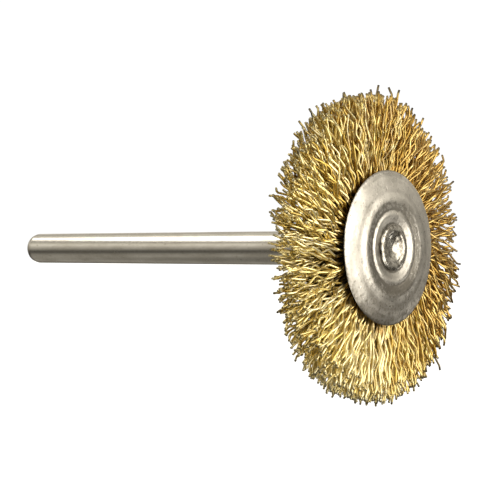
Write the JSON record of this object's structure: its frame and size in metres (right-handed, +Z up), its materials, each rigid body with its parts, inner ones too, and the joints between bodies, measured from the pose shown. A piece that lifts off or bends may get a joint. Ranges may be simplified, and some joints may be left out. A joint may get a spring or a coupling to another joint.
{
  "type": "wire wheel brush",
  "caption": "Small crimped brass wire wheel brush riveted between two pressed steel cups on a plain cylindrical steel shank, for cleaning metal in a hand-held rotary tool.",
  "frame": {"origin": "centre of the shank's flat tail face, the end that goes into the tool's collet", "axes": "+Y out of the tail face into the tool, along the spin axis, so the brush is at -Y and its riveted front face looks along -Y; +Z up with the shank level, +X to the right seen from the front"},
  "size_m": [0.026, 0.0453, 0.026],
  "materials": {
    "shank_steel": "drawn and tumbled, nickel-bright with fine scratches",
    "cup_steel": "pressed and nickel plated, mottled satin in the recesses",
    "core_steel": "plain drawn steel, hidden inside the cups",
    "brass_wire": "drawn and crimped, bright with darker roots"
  },
  "bodies": {
    "root": {"shank": "shank_steel", "rear_cup": "cup_steel", "front_cup": "cup_steel", "spacer_bush": "core_steel", "core_ring": "core_steel", "wire_bundle_01": "brass_wire", "wire_bundle_02": "brass_wire", "wire_bundle_03": "brass_wire", "wire_bundle_04": "brass_wire", "wire_bundle_05": "brass_wire", "wire_bundle_06": "brass_wire", "wire_bundle_07": "brass_wire", "wire_bundle_08": "brass_wire", "wire_bundle_09": "brass_wire", "wire_bundle_10": "brass_wire", "wire_bundle_11": "brass_wire", "wire_bundle_12": "brass_wire", "wire_bundle_13": "brass_wire", "wire_bundle_14": "brass_wire", "wire_bundle_15": "brass_wire", "wire_bundle_16": "brass_wire", "wire_bundle_17": "brass_wire", "wire_bundle_18": "brass_wire", "wire_bundle_19": "brass_wire", "wire_bundle_20": "brass_wire", "wire_bundle_21": "brass_wire", "wire_bundle_22": "brass_wire", "wire_bundle_23": "brass_wire", "wire_bundle_24": "brass_wire", "wire_bundle_25": "brass_wire", "wire_bundle_26": "brass_wire", "wire_bundle_27": "brass_wire", "wire_bundle_28": "brass_wire", "wire_bundle_29": "brass_wire", "wire_bundle_30": "brass_wire", "wire_bundle_31": "brass_wire", "wire_bundle_32": "brass_wire", "wire_bundle_33": "brass_wire", "wire_bundle_34": "brass_wire", "wire_bundle_35": "brass_wire", "wire_bundle_36": "brass_wire"}
  },
  "joints": []
}
